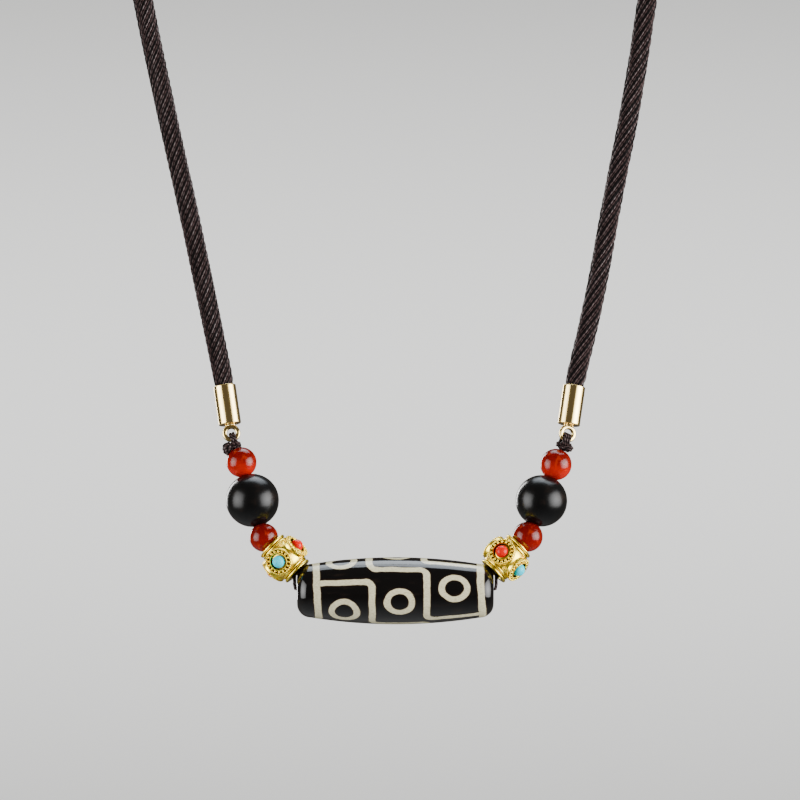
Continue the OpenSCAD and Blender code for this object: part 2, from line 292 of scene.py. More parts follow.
def disc(radius, sides):
    return [(radius * cos(360 * k / sides), radius * sin(360 * k / sides)) for k in range(sides)]


def strand(path, radius, sides=10):
    """Round thread along a path, with its ends drawn in."""
    last = len(path) - 1
    drawn_in = {0: 0.6, last: 0.6}
    return swept(path, lambda i: disc(radius * drawn_in.get(i, 1), sides))


def blend(a, b, c, d, t):
    return 0.5 * (2 * b + (c - a) * t + (2 * a - 5 * b + 4 * c - d) * t * t
                  + (3 * b - a - 3 * c + d) * t ** 3)


def curve(points, steps):
    """Smooth curve from the second to the last but one of the points."""
    p = [Vector(q) for q in points]
    found = [blend(*p[i - 1:i + 3], k / steps) for i in range(1, len(p) - 2) for k in range(steps)]
    return found + [p[-2]]


def evenly(path, step):
    """The path again, with its points one step apart."""
    lengths = [0]
    for a, b in zip(path, path[1:]):
        lengths.append(lengths[-1] + (b - a).length)
    count = max(2, round(lengths[-1] / step))
    found, at = [], 0
    for k in range(count + 1):
        s = lengths[-1] * k / count
        while at < len(path) - 2 and lengths[at + 1] < s:
            at += 1
        t = (s - lengths[at]) / (lengths[at + 1] - lengths[at])
        found.append(path[at].lerp(path[at + 1], min(t, 1)))
    return found, lengths[-1]


def dressed(obj, name, place, node, slot, finish, smooth=SMOOTH):
    """Sets a shaped piece in place in metres, for the solid that it stands for."""
    moved(obj, Matrix.Scale(MM, 4) @ place)
    obj.name = obj.data.name = name
    obj.data.materials.clear()
    obj.data.materials.append(finish)
    select_only(obj)
    bpy.ops.object.shade_smooth_by_angle(angle=math.radians(smooth))
    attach(obj, BODY)
    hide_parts(node)
    return obj


# ---------------------------------------------------------------- materials

class Wire:
    """Output of a shader node that takes part in Python sums."""

    def __init__(self, finish, socket):
        self.finish, self.socket = finish, socket

    def math(self, operation, *values):
        return self.finish.math(operation, self, *values)

    def __add__(self, other):
        return self.math("ADD", other)

    __radd__ = __add__

    def __sub__(self, other):
        return self.math("SUBTRACT", other)

    def __rsub__(self, other):
        return self.finish.math("SUBTRACT", other, self)

    def __mul__(self, other):
        return self.math("MULTIPLY", other)

    __rmul__ = __mul__

    def __truediv__(self, other):
        return self.math("DIVIDE", other)

    def __neg__(self):
        return self.math("MULTIPLY", -1)

    def __abs__(self):
        return self.math("ABSOLUTE")

    def root(self):
        return self.math("SQRT")

    def above(self, floor):
        return self.math("MAXIMUM", floor)

    def wrapped(self, period):
        return self.math("WRAP", period / 2, -period / 2)


class Finish:
    """One material, with the nodes that make it."""

    def __init__(self, name, **constants):
        self.material = bpy.data.materials.new(name)
        self.material.use_nodes = True
        self.tree = self.material.node_tree
        self.shader = self.tree.nodes["Principled BSDF"]
        for socket, value in constants.items():
            self.set(socket, value)

    def set(self, socket, value):
        """Feeds one of the shader's sockets, named with _ for its spaces."""
        self.plug(self.shader.inputs[socket.replace("_", " ")], value)

    def plug(self, target, value):
        if isinstance(value, Wire):
            self.tree.links.new(value.socket, target)
        elif hasattr(target.default_value, "__len__") and hasattr(value, "__len__"):
            target.default_value = tuple(value) + (1,) * (len(target.default_value) - len(value))
        else:
            target.default_value = value

    def node(self, kind, settings, inputs, output=0):
        """Adds a node: its settings first, then the values or links of its sockets."""
        made = self.tree.nodes.new("ShaderNode" + kind)
        for key, value in settings.items():
            if key == "stops":
                ramp = made.color_ramp.elements
                while len(ramp) < len(value):
                    ramp.new(0.5)
                for element, (position, colour) in zip(ramp, value):
                    element.position, element.color = position, tuple(colour) + (1,)
            else:
                setattr(made, key, value)
        for key, value in inputs.items():
            self.plug(made.inputs[key], value)
        return Wire(self, made.outputs[output])

    def math(self, operation, *values):
        return self.node("Math", {"operation": operation}, dict(enumerate(values)))

    def point(self, centre=(0, 0, 0)):
        """Place on the piece in millimetres from a centre that is given in millimetres."""
        place = self.node("TexCoord", {}, {}, "Object")
        return self.node("Mapping", {}, {
            "Vector": place, "Location": tuple(-c for c in centre), "Scale": (1 / MM,) * 3})

    def parts(self, vector):
        return [self.node("SeparateXYZ", {}, {0: vector}, axis) for axis in range(3)]

    def stretched(self, vector, scale):
        return self.node("VectorMath", {"operation": "MULTIPLY"}, {0: vector, 1: scale})

    def noise(self, vector, scale, detail=2, roughness=0.5):
        return self.node("TexNoise", {}, {
            "Vector": vector, "Scale": scale, "Detail": detail, "Roughness": roughness})

    def mix(self, a, b, share):
        return self.node("Mix", {"data_type": "RGBA"}, {0: share, 6: a, 7: b}, 2)

    def ramp(self, value, low, high, start=0, end=1):
        """Goes smoothly from start to end as the value goes from low to high."""
        return self.node("MapRange", {"interpolation_type": "SMOOTHSTEP"}, {
            "Value": value, 1: low, 2: high, 3: start, 4: end})

    def bump(self, height, strength, distance):
        self.set("Normal", self.node("Bump", {}, {
            "Strength": strength, "Distance": distance * MM, "Height": height}))


def agate_finish(s):
    """Polished agate with rings in three columns and stepped lines between them."""
    f = Finish("patterned agate", IOR=1.54, Specular_IOR_Level=0.35)
    place = f.point(PENDANT)
    wobble = f.parts(f.node("TexNoise", {}, {"Vector": place, "Scale": 0.32, "Detail": 2}, "Color"))
    x, y, z = f.parts(place)
    x = x + (wobble[0] - 0.5) * s.wobble
    turn = f.math("ARCTAN2", -z, -y) + (wobble[1] - 0.5) * (s.wobble / DZI_R)
    r = (y * y + z * z).root()
    third = 2 * math.pi / 3
    ring_sway, sway_from, line_shift = (math.radians(a) for a in (4.2, 25, 6))
    ring_flatter = 1.03

    def stretch(start, full, fading, end):
        """1 from full to fading and 0 before start and after end, in degrees of turn."""
        start, full, fading, end = (math.radians(a) for a in (start, full, fading, end))
        return f.ramp(turn, start, full) * f.ramp(turn, fading, end, 1, 0)

    # The rings stand a little closer together in front than behind.
    ring_turn = turn + ring_sway * f.math("SINE", turn + sway_from)

    # Rings and lines stand a little further left on top of the bead.
    band_x, x = x, x + s.top_shift * stretch(-165, -125, -72, -36)

    # The line under the bead stands a little further forward.
    line_turn = turn + line_shift * stretch(48, 66, 110, 140)

    def around(at, angle):
        return (at - math.radians(angle)).wrapped(third) * r

    def within(distance, half, soft):
        return f.ramp(distance, half - soft, half + soft, 1, 0)

    distances = []
    for at, angle in zip(s.columns, s.column_turns):
        across = around(ring_turn, angle) * ring_flatter
        d = ((x - at) * (x - at) + across * across).root()
        distances.append(abs(d - s.eye_middle_r) - s.eye_line_half)
    stepped = []
    for at, low, high in zip(s.steps, s.line_turns, s.line_turns[1:]):
        t = around(line_turn, (low + high) / 2)
        half = r * math.radians((high - low) / 2)
        # Distances from the step along the bead and from the line round it
        u = t.math("SIGN") * (x - at)
        v = half - abs(t)
        m, n = (s.corner_r - u).above(0), (s.corner_r - v).above(0)
        wider = f.ramp(abs(x - at), 0.8, 2, 0.1, 0)
        stepped.append(abs((m * m + n * n).root() - s.corner_r) - wider)
    right = x.math("GREATER_THAN", sum(s.steps) / 2)
    line = (stepped[0] * (1 - right) + stepped[1] * right) - s.line_half
    beyond = (-(band_x - s.bands[0])).above(band_x - s.bands[1]).above(0)
    distances.append(line + beyond * 10)
    distances += [abs(band_x - at + 0.05 * z) - s.band_half for at in s.bands]
    nearest = distances[0]
    for d in distances[1:]:
        nearest = nearest.math("MINIMUM", d)
    grain = f.noise(f.stretched(place, (1.2, 7, 7)), 1.6, 3, 0.65)
    veins = f.noise(f.stretched(place, (0.25, 1.2, 1.2)), 0.9, 3)
    line_mask = within(nearest + (grain - 0.5) * 0.10, 0, 0.07)
    halo = within(nearest, 0.16, 0.16)
    ivory = f.mix(s.ivory, s.ivory_shade, f.ramp(grain, 0.42, 0.68))
    body = f.mix(s.body, s.body_vein, f.ramp(veins, 0.55, 0.8, 0, 0.6))
    f.set("Base_Color", f.mix(f.mix(body, s.halo, halo), ivory, line_mask))
    f.set("Roughness", 0.06 + 0.09 * line_mask)
    f.bump(f.noise(place, 0.6, 2), 0.06, 0.3)
    return f.material


def carnelian_finish(s, name, centre, radius, deep):
    """Clear orange red stone with painted light where light gathers low in it, deeper to its top
    and rim.
    """
    f = Finish(name, Roughness=0.16, IOR=1.54, Specular_IOR_Level=0.22, Subsurface_Weight=0.25,
               Subsurface_Scale=0.001, Subsurface_Radius=(1.0, 0.2, 0.08), Coat_Weight=0.06,
               Coat_Roughness=0.05)
    place = f.point(centre)
    x, y, z = f.parts(place)
    cloud = f.noise(place, 0.45, 3, 0.55)
    # Painted light: the stone is painted lighter low in the bead and deeper towards its top, broken
    # up by the clouds.
    low = f.ramp(z / radius + (cloud - 0.5) * 1.4, -0.9, 0.9, 1, 0)
    colour = f.mix(s.carnelian_deep, s.carnelian, low * (1 - deep))
    threads = f.ramp(f.noise(f.stretched(place, (1, 1, 0.3)), 1.1, 2), 0.56, 0.74)
    f.set("Base_Color", f.mix(colour, s.carnelian_cloud, threads * 0.3))
    f.bump(f.noise(place, 0.8, 1), 0.03, 0.2)
    return f.material


def onyx_finish(s, name, centre):
    """Satin black stone with faint brown in it."""
    f = Finish(name, IOR=1.5, Specular_IOR_Level=0.24)
    place = f.point(centre)
    cloud = f.noise(place, 0.35, 3, 0.6)
    f.set("Base_Color", f.mix(s.onyx, s.onyx_brown, f.ramp(cloud, 0.5, 0.8, 0, 0.7)))
    fine = f.noise(place, 9, 2, 0.6)
    f.set("Roughness", 0.17 + 0.12 * fine)
    f.bump(fine, 0.08, 0.05)
    return f.material


def cabochon_finish(name, colour, shade):
    """Small opaque polished stone with a faint mottle."""
    f = Finish(name, Roughness=0.14, IOR=1.5, Specular_IOR_Level=0.18)
    place = f.point()
    mottle = f.noise(place, 2.2, 3, 0.6)
    f.set("Base_Color", f.mix(colour, shade, f.ramp(mottle, 0.5, 0.75)))
    f.bump(mottle, 0.15, 0.05)
    return f.material


def yellow_gold_finish(s):
    """Rich yellow gold, rubbed bright on the high spots, with painted shade darkening it in its
    hollows.
    """
    f = Finish("yellow gold", Metallic=1)
    place = f.point()
    wear = f.noise(place, 1.3, 4, 0.6)
    grain = f.noise(place, 14, 2, 0.6)
    hollow = f.node("Attribute", {"attribute_name": SHADE_ATTRIBUTE}, {}, "Fac")
    bright = f.mix(s.yellow_gold, s.yellow_gold_shade, f.ramp(wear, 0.4, 0.75))
    # Painted shade: browner gold in the hollows and under the granules, and near black round the
    # set stones.
    wear_and_shade = f.mix(bright, s.yellow_gold_painted_shade, hollow.math("MULTIPLY", 1.2).math("MINIMUM", 1))
    f.set("Base_Color", f.mix(wear_and_shade, s.pocket_painted_shade, f.ramp(hollow, 0.8, 1)))
    f.set("Roughness", 0.22 + 0.14 * wear + 0.2 * hollow)
    f.bump(grain, 0.12, 0.04)
    return f.material


def pale_gold_finish(s):
    """Polished pale gold with a few hairlines and smears."""
    f = Finish("pale gold", Metallic=1)
    place = f.point()
    smear = f.noise(place, 0.7, 3)
    hairs = f.noise(f.stretched(place, (1, 1, 12)), 3, 2)
    f.set("Base_Color", f.mix(s.pale_gold, s.pale_gold_shade, f.ramp(smear, 0.4, 0.8, 0, 0.5)))
    f.set("Roughness", 0.12 + 0.05 * f.ramp(hairs, 0.6, 0.8) + 0.04 * smear)
    f.bump(smear, 0.02, 0.1)
    return f.material


def yarn_finish(s, name, plies, pitch, groove):
    """Dark yarn with a faint gloss, painted lit on the crowns of its strands or turns and painted
    dark between them. The map runs round the cord, in strands or turns, and along it in
    millimetres.
    groove is 1 where the strands have painted shade in the grooves between them, or 0."""
    f = Finish(name, IOR=1.5, Specular_IOR_Level=0.07, Coat_Roughness=0.3)
    along = f.node("UVMap", {"uv_map": "UVMap"}, {})
    u, v, _ = f.parts(along)
    twist = u * plies + v / pitch
    thread = abs(f.math("SINE", twist * math.pi))
    fleck = f.noise(f.stretched(along, (6, 2.4, 1)), 1, 3, 0.7)
    drift = f.noise(f.stretched(along, (1, 0.12, 1)), 1, 2)
    crown = abs(f.math("SINE", u * (plies * math.pi)))
    # Painted light and shade: the crowns of the strands, or of the thread's turns, are painted lit
    # and the grooves between them painted dark.
    ridge = (groove * (crown * crown * (0.5 + 0.5 * thread) + 0.6 * (drift - 0.42))
             + (1 - groove) * (0.6 * thread + 0.5 * drift - 0.1))
    lit = f.ramp(ridge, 0.3, 0.95)
    colour = f.mix(s.yarn_painted_shade, s.yarn, lit)
    # Painted glints: pale flecks only on the painted lit crowns.
    f.set("Base_Color", f.mix(colour, s.yarn_painted_glint, f.ramp(fleck, 0.62, 0.8, 0, 0.5) * lit))
    f.set("Roughness", 0.75 - 0.3 * lit)
    f.set("Coat_Weight", f.ramp(ridge, 0.55, 0.95, 0, 0.6))
    f.bump(thread + 0.35 * fleck, 0.55, 0.09)
    return f.material


# ---------------------------------------------------------------- settings

def colour(name, description, value):
    return FloatVectorProperty(name=name, description=description, subtype="COLOR", size=3,
                               default=srgb(*value), min=0, max=1)


class AgateSettings(bpy.types.PropertyGroup):
    """Pattern of the long bead, in millimetres and degrees from the bead's middle and front."""
    columns: FloatVectorProperty(
        name="Ring columns", description="Places of the columns of rings along the bead",
        size=3, default=(-9.9, 0.8, 11.5))
    column_turns: FloatVectorProperty(
        name="Ring turns", description="Turn of each column's front ring below the front",
        size=3, default=(35.3, 11.9, -14.8))
    steps: FloatVectorProperty(
        name="Steps", description="Places of the lines' steps along the bead",
        size=2, default=(-4.55, 6.15))
    line_turns: FloatVectorProperty(
        name="Line turns", description="Turn of the lines in each column",
        size=3, default=(-25.6, 70, 169))
    bands: FloatVectorProperty(
        name="Bands", description="Places of the two bands along the bead",
        size=2, default=(-15.2, 16.75))
    band_half: FloatProperty(name="Half of a band", description="Half the bands' width",
                             default=0.67, min=0.3, max=1.5)
    eye_middle_r: FloatProperty(name="Ring radius", description="Radius of a ring's line",
                                default=2.45, min=1.5, max=3.2)
    eye_line_half: FloatProperty(name="Half of a ring's line", description="Half its width",
                                 default=0.6, min=0.3, max=1.2)
    line_half: FloatProperty(name="Half of a stepped line", description="Half its width",
                             default=0.55, min=0.3, max=1.2)
    corner_r: FloatProperty(name="Corner radius", description="Radius of the steps' corners",
                            default=1.2, min=0.8, max=2)
    wobble: FloatProperty(name="Wobble", description="How far the lines stray by hand",
                          default=0.5, min=0, max=1)
    top_shift: FloatProperty(name="Shift on top", description="Pattern further left on top",
                             default=0.58, min=0, max=1)
    ivory: colour("Lines", "Ivory of the lines", (212, 206, 172))
    ivory_shade: colour("Line grain", "Grain in the lines", (172, 164, 126))
    halo: colour("Halo", "Brown beside the lines", (42, 24, 14))
    body: colour("Body", "Near black of the stone", (9, 8, 8))
    body_vein: colour("Veins", "Faint veins of the stone", (32, 24, 19))


class StoneSettings(bpy.types.PropertyGroup):
    """Colours of the round beads and the set stones."""
    carnelian: colour("Carnelian", "Light parts of the red beads", (178, 22, 4))
    carnelian_deep: colour("Deep carnelian", "Dark parts of the red beads", (96, 6, 2))
    carnelian_cloud: colour("Carnelian clouds", "Clouds in the red beads", (204, 56, 12))
    onyx: colour("Black stone", "Black beads", (9, 9, 9))
    onyx_brown: colour("Brown", "Faint brown of the black beads", (34, 25, 20))
    turquoise: colour("Turquoise", "Blue set stones", (0, 212, 236))
    turquoise_shade: colour("Turquoise mottle", "Mottle of the blue stones", (0, 176, 212))
    coral: colour("Coral", "Red set stones", (212, 9, 0))
    coral_shade: colour("Coral mottle", "Mottle of the red stones", (184, 5, 0))


class MetalSettings(bpy.types.PropertyGroup):
    """Fine work on the metal beads, in millimetres, and the colours of the metals."""
    granules: IntProperty(name="Granules", description="Granules round a set stone",
                          default=16, min=12, max=48)
    granule_r: FloatProperty(name="Granule radius", description="Radius of a granule",
                             default=0.29, min=0.1, max=0.35)
    wire_twists: IntProperty(name="Twists", description="Twists of the wire round a medallion",
                             default=34, min=16, max=60)
    wire_r: FloatProperty(name="Wire radius", description="Radius of that wire",
                          default=0.17, min=0.1, max=0.3)
    yellow_gold: colour("Yellow gold", "Metal beads", (255, 233, 88))
    yellow_gold_shade: colour("Gold shade", "Worn parts of the metal beads", (255, 205, 44))
    # Painted shade: browner gold in the hollows of the metal beads
    yellow_gold_painted_shade: colour("Gold hollows", "Hollows of the metal beads", (122, 60, 10))
    # Painted shade: near black in the pockets round the set stones
    pocket_painted_shade: colour("Pocket", "Dark round the set stones", (26, 18, 8))
    pale_gold: colour("Pale gold", "End caps and clasp", (252, 224, 150))
    pale_gold_shade: colour("Pale gold shade", "Faint smears on them", (244, 202, 118))


class YarnSettings(bpy.types.PropertyGroup):
    """Make of the rope and the thread, in millimetres."""
    strands: IntProperty(name="Strands", description="Strands of the rope", default=9,
                         min=6, max=16)
    left_lay: FloatProperty(name="Left lay", description="Length of one turn of a strand",
                            default=16, min=10, max=26)
    right_lay: FloatProperty(name="Right lay", description="Its length on the looser side",
                             default=23.5, min=10, max=30)
    ply_length: FloatProperty(name="Ply length", description="Length of a twist of a strand",
                              default=5, min=3, max=15)
    rope_r: FloatProperty(name="Rope radius", description="Radius of the rope", default=2,
                          min=1.5, max=2.5)
    thread_r: FloatProperty(name="Thread radius", description="Radius of the knotted thread",
                            default=0.33, min=0.2, max=0.4)
    yarn: colour("Yarn", "Dark brown yarn", (70, 54, 53))
    # Painted shade: the yarn painted near black in the grooves between strands and turns
    yarn_painted_shade: colour("Dark yarn", "Yarn in the grooves", (7, 4, 4))
    # Painted glints: pale flecks shown only where the yarn is painted lit
    yarn_painted_glint: colour("Shine", "Pale flecks of the yarn", (156, 130, 125))


class StageSettings(bpy.types.PropertyGroup):
    """Studio and camera, in metres and watts."""
    floor_drop: FloatProperty(name="Floor", description="Floor below the necklace",
                              default=0.9, min=0.01, max=2, unit="LENGTH")
    distance: FloatProperty(name="Camera distance", description="Camera from the necklace",
                            default=4, min=1, max=10, unit="LENGTH")
    frame_width: FloatProperty(name="Frame", description="Width that the picture takes in",
                               default=0.156, min=0.05, max=0.5, unit="LENGTH")
    elevation: FloatProperty(name="Elevation", description="Camera above the level",
                             default=math.radians(10), subtype="ANGLE")
    left_power: FloatProperty(name="Left light", description="Power of the left softbox",
                              default=5.5, min=0, unit="POWER")
    right_power: FloatProperty(name="Right light", description="Power of the right softbox",
                               default=12, min=0, unit="POWER")
    top_power: FloatProperty(name="Top light", description="Power of the overhead softbox",
                             default=5, min=0, unit="POWER")
    rim_power: FloatProperty(name="Rim light", description="Power of the strip behind",
                             default=2, min=0, unit="POWER")
    floor_power: FloatProperty(name="Floor light", description="Power of the light on the floor",
                               default=56, min=0, unit="POWER")
    floor_colour: colour("Floor", "Pale floor", (226, 226, 224))


class NecklaceSettings(bpy.types.PropertyGroup):
    """All the settings of the necklace."""
    agate: PointerProperty(type=AgateSettings)
    stone: PointerProperty(type=StoneSettings)
    metal: PointerProperty(type=MetalSettings)
    yarn: PointerProperty(type=YarnSettings)
    stage: PointerProperty(type=StageSettings)


def settings(context):
    return context.scene.necklace


def finish_once(name, make):
    """The material of that name, made when it is first asked for."""
    return bpy.data.materials.get(name) or make()


# ---------------------------------------------------------------- operators

# Stage, in metres and degrees: the camera's aim from the long bead and the floor's sheet
AIM_UP, AIM_RIGHT, CAMERA_END = 0.0372, 0.0009, 100
FLOOR_SIZE, FLOOR_CUTS, FLOOR_MOTTLE, FLOOR_LIGHT_TILT = 60, 4, 0.97, 14
WORLD_COLOUR, WORLD_STRENGTH = (1, 0.88, 0.78, 1), 0.11


class NECKLACE_OT_stage(bpy.types.Operator):
    """Adds the camera, the pale floor and the studio lights."""
    bl_idname = "necklace.stage"
    bl_label = "Stage"

    def execute(self, context):
        s = settings(context).stage
        scene = context.scene
        forward = Vector((0, math.cos(s.elevation), -math.sin(s.elevation)))
        up = Vector((0, math.sin(s.elevation), math.cos(s.elevation)))
        target = PENDANT * MM + AIM_UP * up + Vector((AIM_RIGHT, 0, 0))
        deselect()
        bpy.ops.object.camera_add(location=target - s.distance * forward)
        camera = context.object
        camera.rotation_euler = forward.to_track_quat("-Z", "Y").to_euler()
        camera.data.lens = camera.data.sensor_width * s.distance / s.frame_width
        camera.data.clip_end = CAMERA_END
        scene.camera = camera

        bpy.ops.mesh.primitive_plane_add(
            size=FLOOR_SIZE, location=(0, 0, CAD_BOX[0].z - s.floor_drop))
        floor = moved(context.object, Matrix.Identity(4))
        floor.name = "floor"
        edit(bpy.ops.mesh.subdivide, number_cuts=FLOOR_CUTS)
        paint = Finish("pale floor", Roughness=0.75)
        cloud = paint.noise(paint.point(), 0.0006, 2)
        paint.set("Base_Color", paint.mix(
            s.floor_colour, tuple(c * FLOOR_MOTTLE for c in s.floor_colour), cloud))
        floor.data.materials.append(paint.material)

        middle = PENDANT * MM + Vector((0, 0, 0.03))
        # Each light's azimuth, height, distance from the middle, width, tallness and spread
        lights = [
            ("left_softbox", -68, 6, 0.95, 0.9, 1.0, 80, s.left_power, WHITE),
            ("right_softbox", 69, 8, 0.95, 1.3, 0.95, 80, s.right_power, WHITE),
            ("top_softbox", 166, 60, 1.1, 1.15, 0.72, 80, s.top_power, (0.84, 0.92, 1)),
            ("rim_strip", -150, 6, 1.2, 0.16, 0.9, 80, s.rim_power, WHITE),
            ("floor_light", 180, 18, 5.2, 2.6, 1.4, 100, s.floor_power, (0.99, 1, 1.01)),
        ]
        for name, azimuth, height, distance, width, tall, spread, power, tint in lights:
            away = Vector((sin(azimuth) * cos(height), -cos(azimuth) * cos(height), sin(height)))
            deselect()
            bpy.ops.object.light_add(type="AREA", location=middle + distance * away)
            light = context.object
            light.name = name
            light.rotation_euler = (-away).to_track_quat("-Z", "Y").to_euler()
            light.data.shape, light.data.size, light.data.size_y = "RECTANGLE", width, tall
            light.data.energy, light.data.spread = power, math.radians(spread)
            light.data.color = tint
            if name == "floor_light":
                light.rotation_euler = (math.radians(FLOOR_LIGHT_TILT), 0, 0)
            light.visible_camera = False
        world = scene.world or bpy.data.worlds.new("World")
        scene.world = world
        world.use_nodes = True
        back = world.node_tree.nodes["Background"]
        back.inputs["Color"].default_value = WORLD_COLOUR
        back.inputs["Strength"].default_value = WORLD_STRENGTH
        return {"FINISHED"}


class NECKLACE_OT_rope(bpy.types.Operator):
    """Lays up the two halves of the twisted rope."""
    bl_idname = "necklace.rope"
    bl_label = "Rope"

    def execute(self, context):
        s = settings(context).yarn
        finish = finish_once(
            "rope yarn", lambda: yarn_finish(s, "rope yarn", 2, 0.9, 1))
        for side, word in SIDES.items():
            cap_top = RING_TO_CAP + CAP_LENGTH
            ends_in = side * (CLASP_LENGTH / 2 - CLASP_SOCKET + GAP)
            route = [
                on_cap(side, cap_top - SOCKET_DEPTH - ROPE_LEAD),
                on_cap(side, cap_top - SOCKET_DEPTH + GAP), on_cap(side, cap_top + GAP),
                *ROUTES[side],
                (side * (CLASP_LENGTH / 2 + GAP), CLASP_R, 0), (ends_in, CLASP_R, 0),
                (ends_in - side * ROPE_LEAD, CLASP_R, 0),
            ]
            path, length = evenly(curve(route, 32), 0.4)
            rope = self.laid(path, length, s, s.left_lay if side == LEFT else s.right_lay)
            dressed(rope, word + "_twisted_rope", Matrix.Identity(4), "rope_" + word, "rope",
                    finish, YARN_SMOOTH)
            on_cap(side, cap_top) * MM
            length * MM
            [p * MM for p in path]
        return {"FINISHED"}

    def laid(self, path, length, s, lay):
        """Strands of two plies each, laid side by side round the path, in one skin."""
        count, per_strand = s.strands, 12
        step = length / (len(path) - 1)
        round_strands = 2 * math.pi * s.rope_r * 0.8
        pitch_angle = math.atan(round_strands / lay)
        spacing = round_strands / count
        half_across, half_deep = spacing / 2, spacing / 2 * math.cos(pitch_angle)

        def section(i):
            s_along = i * step
            # The rope is squeezed to nine tenths in its sockets and opens just outside them.
            into = min(s_along - SOCKET_DEPTH, length - CLASP_SOCKET - s_along)
            squeeze = 0.9 + 0.1 * min(max(into / 1.6, 0), 1)
            middle_r = (s.rope_r - half_deep) * squeeze
            points = []
            for k in range(count):
                base = 360 * (k / count + s_along / lay)
                # The groove between the plies wanders across the strand as they twist.
                line = 0.35 * sin(360 * (s_along / s.ply_length + k * 0.37))
                for j in range(per_strand):
                    a = -90 + 180 * j / per_strand
                    between_plies = max(0, 1 - abs(sin(a) - line) / 0.4)
                    out = -0.6 + 1.6 * cos(a) - 0.4 * between_plies
                    radius = middle_r + half_deep * out * squeeze
                    angle = base + math.degrees(half_across * sin(a) / middle_r * squeeze)
                    points.append((radius * cos(angle), radius * sin(angle)))
            return points

        rope = swept(path, section)
        ring = count * per_strand
        layer = rope.data.uv_layers.new(name="UVMap").data
        for polygon in rope.data.polygons:
            round_end = len(polygon.vertices) > 4
            for loop, vertex in zip(polygon.loop_indices, polygon.vertices):
                i, k = divmod(vertex, ring)
                across = k / per_strand
                if not round_end and k == 0 and max(v % ring for v in polygon.vertices) == ring - 1:
                    across = count
                layer[loop].uv = (across, i * step)
        return rope


class NECKLACE_OT_thread(bpy.types.Operator):
    """Strings the beads and ties the thread to the rings of the caps."""
    bl_idname = "necklace.thread"
    bl_label = "Thread and knots"

    def execute(self, context):
        s = settings(context).yarn
        finish = finish_once("knotted thread", lambda: yarn_finish(s, "knotted thread", 2, 0.8, 0))
        pieces = [strand([chest(p) for p in self.line()], s.thread_r, 8)]
        for side in SIDES:
            place = on_string(ring_at(side), side, RING_STEP[side][1])
            for path, radius in self.knot(side, s.thread_r):
                pieces.append(moved(strand(path, radius), place))
        for piece in pieces:
            self.map_along(piece)
        dressed(joined(pieces), "knotted_thread", Matrix.Identity(4), "thread", "thread",
                finish, YARN_SMOOTH)
        return {"FINISHED"}

    def line(self):
        """Way of the thread through all the beads, in the leaning plane."""
        halves = {}
        for side in SIDES:
            points = [ring_at(side) - 2.6 * towards(side, RING_STEP[side][1])]
            for i in (UPPER, MIDDLE, LOWER):
                row = BEADS[side][i]
                half = (row[DIAMETER] / 2 - 0.6) * towards(side, row[BORE])
                points += [bead_at(side, i) + half, bead_at(side, i) - half]
            points.append(metal_at(side) - 2.2 * towards(side, METAL_LEAN)
                          + 0.7 * Vector((side * cos(METAL_LEAN), -sin(METAL_LEAN))))
            points += [Vector((side * (DZI_LENGTH / 2 + beyond), above)) for beyond, above in
                       ((0.46, 2.9), (0.46, 1.3), (0.3, 0.4), (-0.4, 0.2))]
            halves[side] = points
        return halves[LEFT] + halves[RIGHT][::-1]

    def knot(self, side, r):
        """Threads of a knot, shaped below the middle of the ring, with X to the outer side."""
        turn = Matrix.Rotation(math.radians(RING_TURN[side]), 3, "Z")
        loop_r, steps_a_turn = 1.18, 16
        threads = []
        for shift in ((-0.3, 0.3) if side == LEFT else (-0.5, 0, 0.5)):
            loop = [turn @ Vector((shift, loop_r * sin(a), -RING_MIDDLE_R + loop_r * cos(a)))
                    for a in range(0, 361, 15)]
            threads.append((loop, r * 0.95))
        for across, down, radius, turns, rise, lean, hand, start, full in self.coils(side):
            tilt = Matrix.Rotation(math.radians(lean), 3, "Y")
            steps = round(turns * steps_a_turn)
            path = []
            for k in range(steps + 1):
                turned_by = start + hand * 360 * turns * k / steps
                bulge = radius * (0.5 + 0.5 * sin(180 * k / steps))
                path.append(Vector((side * across, 0, -down)) + tilt @ Vector((
                    bulge * cos(turned_by), bulge * 0.9 * sin(turned_by),
                    rise * turns * (k / steps - 0.5))))
            threads.append((path, r * full))
        return threads

    def coils(self, side):
        """Rows of across, down, radius, turns, rise of a turn, lean, hand, start and fullness."""
        if side == LEFT:
            return [
                (1.7, 2.7, 0.62, 3.6, 0.56, 8, 1, 200, 1.35),
                (1.05, 2.5, 0.42, 2, 0.6, 70, -1, 90, 1),
                (0.3, 2.6, 0.3, 2, 0.6, 40, 1, 30, 1),
                (-0.42, 2.6, 0.42, 3, 0.48, -14, 1, 0, 0.75),
                (-0.42, 2.6, 0.46, 3, 0.48, 14, -1, 60, 0.75),
            ]
        return [
            (1.35, 2.55, 0.5, 2.6, 0.5, 22, 1, 20, 0.9),
            (0.6, 2.65, 0.48, 3, 0.48, -14, -1, 20, 0.85),
            (0.6, 2.6, 0.5, 3, 0.48, 16, 1, 80, 0.8),
            (-0.2, 2.6, 0.44, 3, 0.46, 12, 1, 0, 0.8),
            (-0.9, 2.4, 0.26, 2.5, 0.42, 40, -1, 120, 0.8),
        ]

    def map_along(self, piece):
        """Map round and along a thread, in turns and millimetres."""
        sides = len(piece.data.polygons[-1].vertices)
        points = [v.co for v in piece.data.vertices]
        layer = piece.data.uv_layers.new(name="UVMap").data
        along = [0]
        for i in range(sides, len(points), sides):
            along.append(along[-1] + (points[i] - points[i - sides]).length)
        for polygon in piece.data.polygons:
            seam = {v % sides for v in polygon.vertices} == {0, sides - 1}
            for loop, vertex in zip(polygon.loop_indices, polygon.vertices):
                i, k = divmod(vertex, sides)
                layer[loop].uv = ((sides if seam and k == 0 else k) / sides, along[i])


